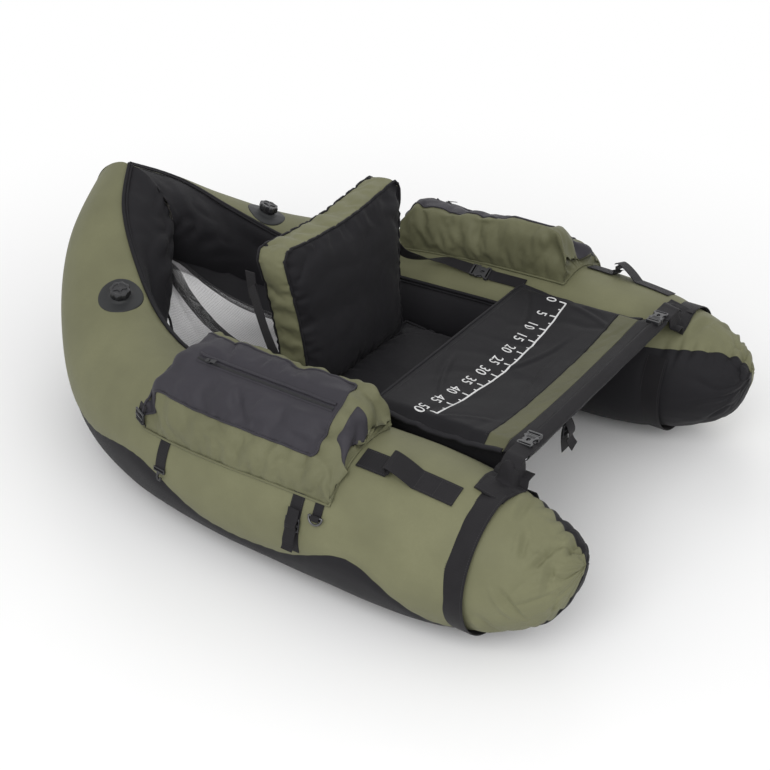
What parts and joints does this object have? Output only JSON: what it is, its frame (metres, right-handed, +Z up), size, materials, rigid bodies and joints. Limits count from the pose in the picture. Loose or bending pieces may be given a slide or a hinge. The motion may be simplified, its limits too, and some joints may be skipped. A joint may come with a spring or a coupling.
{
  "type": "float tube",
  "caption": "Inflatable fishing float tube with two pontoons meeting in a raised bow, folding backrest, net cargo floor, stripping apron, front bar and side cargo bags.",
  "frame": {"origin": "on the ground under the middle of the part's bounding box", "axes": "+Y runs from the open tips to the bow, +Z is up, +X is the sitter's left, who faces -Y"},
  "size_m": [1.1014, 1.4595, 0.5032],
  "materials": {
    "olive_fabric": "coarse woven coated fabric, matte",
    "black_fabric": "coarse woven coated fabric, matte",
    "webbing": "ribbed woven webbing",
    "buckle_plastic": "moulded, low sheen",
    "valve_rubber": "smooth rubber",
    "bladder_film": "welded film",
    "bar_metal": "drawn tube",
    "ring_steel": "bent rod, dull",
    "net_cord": "knitted mesh"
  },
  "bodies": {
    "hull": {"apron_hem": "webbing", "cargo_net": "net_cord", "front_bar_sleeve": "black_fabric", "front_bar_tube": "bar_metal", "hanging_buckle": "buckle_plastic", "hanging_strap": "webbing", "left_back_buckle_body": "buckle_plastic", "left_back_strap": "webbing", "left_bag_body": "olive_fabric", "left_bag_front_strap": "webbing", "left_bag_lid": "black_fabric", "left_bag_lock": "buckle_plastic", "left_bag_rear_strap": "webbing", "left_bar_buckle_body": "buckle_plastic", "left_bar_pocket": "black_fabric", "left_bladder": "bladder_film", "left_cover_bottom": "black_fabric", "left_cover_top": "olive_fabric", "left_ring_tab": "webbing", "left_rod_strap": "webbing", "left_seam_piping": "black_fabric", "left_tip_band": "webbing", "left_valve_body": "buckle_plastic", "left_valve_flange": "valve_rubber", "right_back_buckle_body": "buckle_plastic", "right_back_strap": "webbing", "right_bag_body": "olive_fabric", "right_bag_front_strap": "webbing", "right_bag_lid": "black_fabric", "right_bag_lock": "buckle_plastic", "right_bag_rear_strap": "webbing", "right_bar_buckle_body": "buckle_plastic", "right_bar_pocket": "black_fabric", "right_bladder": "bladder_film", "right_cover_bottom": "black_fabric", "right_cover_top": "olive_fabric", "right_ring_tab": "webbing", "right_rod_strap": "webbing", "right_seam_piping": "black_fabric", "right_tip_band": "webbing", "right_valve_body": "buckle_plastic", "right_valve_flange": "valve_rubber", "seat_base": "black_fabric", "seat_cushion": "black_fabric"},
    "backrest": {"backrest_core": "olive_fabric", "backrest_front_panel": "black_fabric", "backrest_rear_panel": "black_fabric"},
    "apron": {"apron_band": "olive_fabric", "apron_panel": "black_fabric"},
    "left_zip": {"left_zip_pull": "buckle_plastic"},
    "left_cap": {"left_valve_cap": "buckle_plastic"},
    "left_bar_plug": {"left_bar_buckle_plug": "buckle_plastic"},
    "left_back_plug": {"left_back_buckle_plug": "buckle_plastic"},
    "left_ring": {"left_d_ring": "ring_steel"},
    "right_zip": {"right_zip_pull": "buckle_plastic"},
    "right_cap": {"right_valve_cap": "buckle_plastic"},
    "right_bar_plug": {"right_bar_buckle_plug": "buckle_plastic"},
    "right_back_plug": {"right_back_buckle_plug": "buckle_plastic"},
    "right_ring": {"right_d_ring": "ring_steel"}
  },
  "joints": [
    {"name": "backrest_fold", "type": "hinge", "parent": "hull", "child": "backrest", "pos_m": [0, -0.0219, 0.17107], "axis": [1, 0, 0], "range_deg": [0, 50], "deforming": ["left_back_strap", "right_back_strap"]},
    {"name": "apron_fold", "type": "hinge", "parent": "hull", "child": "apron", "pos_m": [0, -0.5156, 0.31277], "axis": [1, 0, 0], "range_deg": [0, 110]},
    {"name": "left_zip_slide", "type": "slide", "parent": "hull", "child": "left_zip", "axis": [0, -1, 0], "range_m": [0, 0.258]},
    {"name": "left_valve_cap_turn", "type": "hinge", "parent": "hull", "child": "left_cap", "pos_m": [0.24292, 0.43073, 0.29893], "axis": [0.2616, -0.2698, 0.9267], "range_deg": [0, 360]},
    {"name": "left_bar_buckle_slide", "type": "slide", "parent": "hull", "child": "left_bar_plug", "axis": [-1, 0, 0], "range_m": [0, 0.022]},
    {"name": "left_back_buckle_slide", "type": "slide", "parent": "hull", "child": "left_back_plug", "axis": [0, 1, 0], "range_m": [0, 0.022], "deforming": ["left_back_strap"]},
    {"name": "left_d_ring_swing", "type": "hinge", "parent": "hull", "child": "left_ring", "pos_m": [0.53575, -0.28908, 0.21963], "axis": [0, -1, 0], "range_deg": [0, 90]},
    {"name": "right_zip_slide", "type": "slide", "parent": "hull", "child": "right_zip", "axis": [0, -1, 0], "range_m": [0, 0.258]},
    {"name": "right_valve_cap_turn", "type": "hinge", "parent": "hull", "child": "right_cap", "pos_m": [-0.24292, 0.43073, 0.29893], "axis": [-0.2616, -0.2698, 0.9267], "range_deg": [0, 360]},
    {"name": "right_bar_buckle_slide", "type": "slide", "parent": "hull", "child": "right_bar_plug", "axis": [1, 0, 0], "range_m": [0, 0.022]},
    {"name": "right_back_buckle_slide", "type": "slide", "parent": "hull", "child": "right_back_plug", "axis": [0, 1, 0], "range_m": [0, 0.022], "deforming": ["right_back_strap"]},
    {"name": "right_d_ring_swing", "type": "hinge", "parent": "hull", "child": "right_ring", "pos_m": [-0.53575, -0.28908, 0.21963], "axis": [0, 1, 0], "range_deg": [0, 90]}
  ]
}
